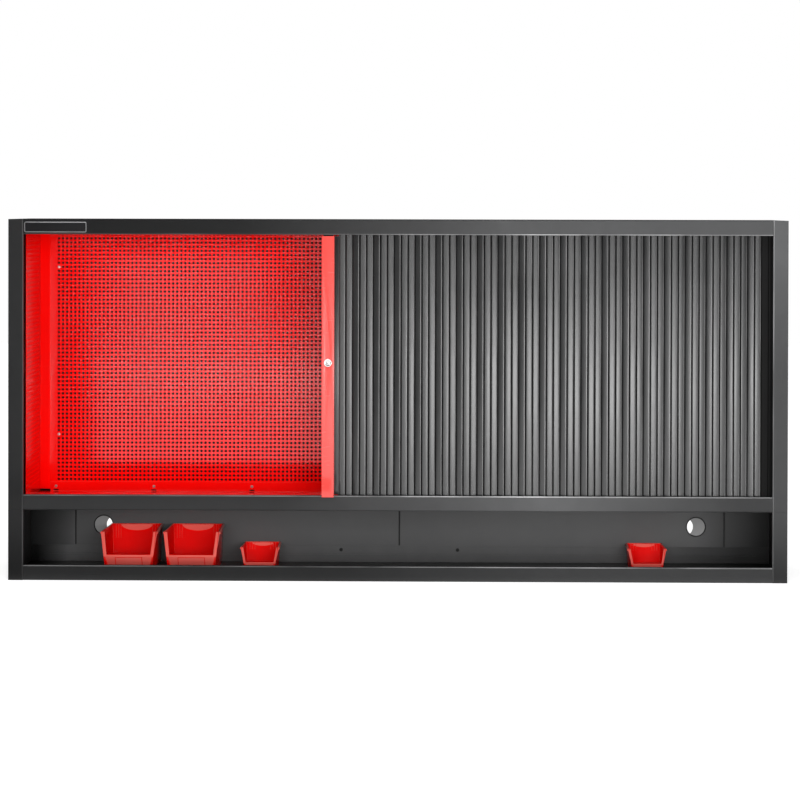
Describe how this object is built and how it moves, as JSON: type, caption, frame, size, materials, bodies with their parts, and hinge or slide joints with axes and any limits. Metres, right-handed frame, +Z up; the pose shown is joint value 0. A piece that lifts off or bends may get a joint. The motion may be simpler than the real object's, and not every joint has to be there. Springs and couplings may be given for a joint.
{
  "type": "roll front tool cabinet",
  "caption": "Wide wall or bench tool cabinet with a sideways-sliding slatted shutter over a perforated red interior, and an open shelf with small parts bins below.",
  "frame": {"origin": "middle of the underside of the base", "axes": "+Z up, front towards -Y, +X to the right as seen from the front"},
  "size_m": [1.5, 0.3048, 0.696],
  "materials": {
    "dark_paint": "dark anthracite powder coat, semi-gloss",
    "grey_paint": "grey powder coat, satin",
    "red_paint": "red powder coat, glossy, perforated on the back and sides",
    "red_rail": "red paint on an aluminium section, glossy",
    "slat_plastic": "dark grey extruded plastic with bevelled edges",
    "runner_plastic": "black slippery plastic",
    "track_steel": "dark powder coat",
    "zinc_screws": "bright zinc",
    "zinc_steel": "zinc plated",
    "lock_chrome": "nickel plated",
    "red_plastic": "red injection-moulded plastic, glossy",
    "plate_black": "blank black field with a thin bright rim"
  },
  "bodies": {
    "cabinet": {"blank_plate": "plate_black", "bottom_track_front": "track_steel", "bottom_track_return": "track_steel", "cover_plate_1": "grey_paint", "cover_plate_2": "grey_paint", "cover_plate_3": "grey_paint", "cover_plate_4": "grey_paint", "cover_plate_screws": "zinc_steel", "curtain_back_slats": "slat_plastic", "curtain_corner_slats": "slat_plastic", "curtain_following_slats": "slat_plastic", "curtain_rear_corner_slats": "slat_plastic", "curtain_side_slats": "slat_plastic", "lining_back": "red_paint", "lining_back_screws": "zinc_screws", "lining_ceiling": "red_paint", "lining_floor": "red_paint", "lining_floor_screws": "zinc_screws", "lining_left_side": "red_paint", "lining_right_side": "red_paint", "lower_left_side": "dark_paint", "lower_right_side": "dark_paint", "module_bolts": "zinc_steel", "module_nuts": "zinc_steel", "rear_panel_screws": "zinc_steel", "shelf_back": "grey_paint", "shelf_floor": "dark_paint", "strike_plate": "zinc_steel", "top_track_front": "track_steel", "top_track_return": "track_steel", "track_end_stops": "runner_plastic", "upper_bottom_panel": "dark_paint", "upper_left_side": "dark_paint", "upper_rear_panel": "dark_paint", "upper_right_side": "dark_paint", "upper_top_panel": "dark_paint"},
    "shutter": {"lead_rail": "red_rail", "lead_rail_bottom_shoe": "runner_plastic", "lead_rail_top_shoe": "runner_plastic", "lock_barrel": "lock_chrome", "lock_nut": "zinc_steel", "curtain_front_slats": "slat_plastic"},
    "lock": {"lock_plug": "lock_chrome", "lock_cam": "zinc_steel", "lock_cam_screw": "zinc_steel"},
    "big_bin_1": {"big_bin_1": "red_plastic"},
    "big_bin_2": {"big_bin_2": "red_plastic"},
    "small_bin_1": {"small_bin_1": "red_plastic"},
    "small_bin_2": {"small_bin_2": "red_plastic"}
  },
  "joints": [
    {"name": "shutter_slide", "type": "slide", "parent": "cabinet", "child": "shutter", "axis": [1, 0, 0], "range_m": [-0.5755, 0]},
    {"name": "lock_turn", "type": "hinge", "parent": "shutter", "child": "lock", "pos_m": [-0.1335, -0.15, 0.421], "axis": [0, -1, 0], "range_deg": [0, 90]},
    {"name": "big_bin_1_slide", "type": "slide", "parent": "cabinet", "child": "big_bin_1", "axis": [0, -1, 0], "range_m": [0, 0.118]},
    {"name": "big_bin_2_slide", "type": "slide", "parent": "cabinet", "child": "big_bin_2", "axis": [0, -1, 0], "range_m": [0, 0.118]},
    {"name": "small_bin_1_slide", "type": "slide", "parent": "cabinet", "child": "small_bin_1", "axis": [0, -1, 0], "range_m": [0, 0.173]},
    {"name": "small_bin_2_slide", "type": "slide", "parent": "cabinet", "child": "small_bin_2", "axis": [0, -1, 0], "range_m": [0, 0.173]}
  ]
}
